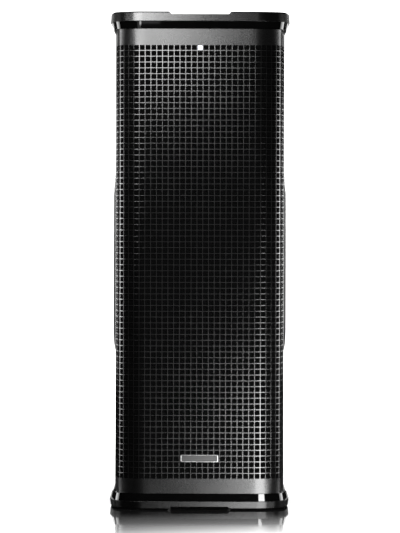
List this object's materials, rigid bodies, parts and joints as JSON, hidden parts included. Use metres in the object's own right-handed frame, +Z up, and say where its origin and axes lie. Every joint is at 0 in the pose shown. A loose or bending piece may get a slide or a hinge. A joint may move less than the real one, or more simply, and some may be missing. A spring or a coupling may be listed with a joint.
{
  "type": "column loudspeaker",
  "caption": "Tall powered column loudspeaker with a wrap-round square-hole grille, moulded end caps, gloss trim rings, side handles and a rear amplifier panel.",
  "frame": {"origin": "centre of the base on the floor plane", "axes": "+Z up, front grille faces -Y, +X to the viewer's right when facing the grille"},
  "size_m": [0.38, 0.37, 1.045],
  "materials": {
    "black_board": "textured black paint on plywood",
    "cap_plastic": "fine-grained matte moulding",
    "gloss_trim": "piano-gloss black",
    "grille_steel": "black powder coat",
    "grille_foam": "open-cell foam",
    "handle_plastic": "satin moulding",
    "soft_rubber": "matte rubber",
    "badge_metal": "satin metal",
    "power_light": "lit white light pipe",
    "cast_frame": "black painted casting",
    "plain_steel": "plated steel",
    "ferrite": "sintered ferrite",
    "paper_cone": "coated paper",
    "spider_cloth": "treated cloth",
    "coil_copper": "copper winding",
    "horn_plastic": "satin moulding",
    "panel_metal": "black powder coat",
    "sink_metal": "black anodised",
    "circuit_board": "solder mask",
    "socket_plastic": "satin moulding",
    "knob_plastic": "satin moulding",
    "screw_steel": "black plated"
  },
  "bodies": {
    "cabinet": {"amp_chassis": "panel_metal", "back_panel": "black_board", "badge_plate": "badge_metal", "bottom_board": "black_board", "bottom_cap": "cap_plastic", "bottom_trim_ring": "gloss_trim", "control_board": "circuit_board", "front_baffle": "black_board", "front_grille": "grille_steel", "grille_foam": "grille_foam", "heat_sink": "sink_metal", "hf_driver_housing": "cast_frame", "horn_flare": "horn_plastic", "input_jack": "socket_plastic", "left_foot_rail": "soft_rubber", "left_handle_cup": "handle_plastic", "left_handle_grip": "soft_rubber", "left_side_panel": "black_board", "link_jack": "socket_plastic", "lower_woofer_basket": "cast_frame", "lower_woofer_magnet": "ferrite", "lower_woofer_spider": "spider_cloth", "lower_woofer_surround": "soft_rubber", "lower_woofer_top_plate": "plain_steel", "lower_woofer_yoke": "plain_steel", "mains_inlet": "socket_plastic", "panel_screw_lower_left": "screw_steel", "panel_screw_lower_right": "screw_steel", "panel_screw_upper_left": "screw_steel", "panel_screw_upper_right": "screw_steel", "pole_socket": "socket_plastic", "port_duct": "horn_plastic", "power_led": "power_light", "power_supply": "circuit_board", "rear_panel": "panel_metal", "right_foot_rail": "soft_rubber", "right_handle_cup": "handle_plastic", "right_handle_grip": "soft_rubber", "right_side_panel": "black_board", "top_board": "black_board", "top_cap": "cap_plastic", "top_trim_ring": "gloss_trim", "upper_woofer_basket": "cast_frame", "upper_woofer_magnet": "ferrite", "upper_woofer_spider": "spider_cloth", "upper_woofer_surround": "soft_rubber", "upper_woofer_top_plate": "plain_steel", "upper_woofer_yoke": "plain_steel"},
    "upper_woofer_moving": {"upper_woofer_cone": "paper_cone", "upper_woofer_dust_cap": "paper_cone", "upper_woofer_voice_coil": "coil_copper"},
    "lower_woofer_moving": {"lower_woofer_cone": "paper_cone", "lower_woofer_dust_cap": "paper_cone", "lower_woofer_voice_coil": "coil_copper"},
    "hf_diaphragm_moving": {"hf_diaphragm": "coil_copper"},
    "level_knob_body": {"level_knob": "knob_plastic"},
    "tone_knob_body": {"tone_knob": "knob_plastic"},
    "mode_button_body": {"mode_button": "knob_plastic"},
    "power_rocker_body": {"power_rocker": "knob_plastic"},
    "jack_latch_body": {"jack_latch": "knob_plastic"}
  },
  "joints": [
    {"name": "upper_woofer_excursion", "type": "slide", "parent": "cabinet", "child": "upper_woofer_moving", "axis": [0, -1, 0], "range_m": [-0.006, 0.006], "stiffness_N_per_m": 4000, "deforming": ["upper_woofer_surround", "upper_woofer_spider"]},
    {"name": "lower_woofer_excursion", "type": "slide", "parent": "cabinet", "child": "lower_woofer_moving", "axis": [0, -1, 0], "range_m": [-0.006, 0.006], "stiffness_N_per_m": 4000, "deforming": ["lower_woofer_surround", "lower_woofer_spider"]},
    {"name": "hf_diaphragm_excursion", "type": "slide", "parent": "cabinet", "child": "hf_diaphragm_moving", "axis": [0, -1, 0], "range_m": [-0.0003, 0.0003], "stiffness_N_per_m": 15000},
    {"name": "level_knob_turn", "type": "hinge", "parent": "cabinet", "child": "level_knob_body", "pos_m": [0.06, 0.175, 0.362], "axis": [0, -1, 0], "range_deg": [-150, 150]},
    {"name": "tone_knob_turn", "type": "hinge", "parent": "cabinet", "child": "tone_knob_body", "pos_m": [0, 0.175, 0.362], "axis": [0, -1, 0], "range_deg": [-150, 150]},
    {"name": "mode_button_press", "type": "slide", "parent": "cabinet", "child": "mode_button_body", "axis": [0, -1, 0], "range_m": [0, 0.0015], "stiffness_N_per_m": 400, "springref_m": -0.001},
    {"name": "power_rocker_tilt", "type": "hinge", "parent": "cabinet", "child": "power_rocker_body", "pos_m": [-0.028, 0.166, 0.205], "axis": [1, 0, 0], "range_deg": [-20, 0]},
    {"name": "jack_latch_press", "type": "slide", "parent": "cabinet", "child": "jack_latch_body", "axis": [0, -1, 0], "range_m": [0, 0.0015], "stiffness_N_per_m": 500, "springref_m": -0.001}
  ]
}
